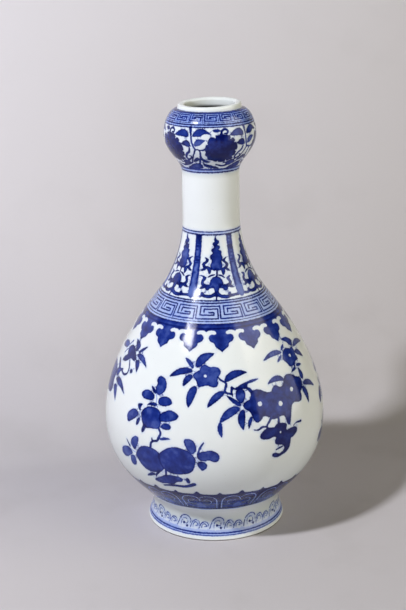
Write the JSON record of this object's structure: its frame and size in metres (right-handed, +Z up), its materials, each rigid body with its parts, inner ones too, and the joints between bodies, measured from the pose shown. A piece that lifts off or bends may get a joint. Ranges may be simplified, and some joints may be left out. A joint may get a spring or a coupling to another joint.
{
  "type": "bottle vase",
  "caption": "Garlic-mouthed bottle vase in blue-and-white porcelain with a flared foot, pear-shaped belly and slender neck, painted with flowering and fruiting sprays; holds cut stems.",
  "frame": {"origin": "centre of the foot rim, in the plane that the vase stands on", "axes": "+Z up along the axis of the wheel, from the foot to the mouth; -Y is the painted side that faces the viewer, +X to the viewer's right"},
  "size_m": [0.145, 0.145, 0.28],
  "materials": {
    "glazed_porcelain": "white porcelain painted in cobalt blue under a clear glossy glaze with a faint blue-green tint",
    "foot_porcelain": "glossy glaze over a blue wave border, wiped off the standing edge, which is bare sanded biscuit",
    "luting_slip": "fired porcelain slip between the thrown sections, glazed over where it meets the surface"
  },
  "bodies": {
    "root": {"foot_ring": "foot_porcelain", "foot_slip": "luting_slip", "lower_belly": "glazed_porcelain", "belly_slip": "luting_slip", "upper_belly": "glazed_porcelain", "shoulder_slip": "luting_slip", "neck": "glazed_porcelain", "neck_slip": "luting_slip", "garlic_mouth": "glazed_porcelain"}
  },
  "joints": []
}
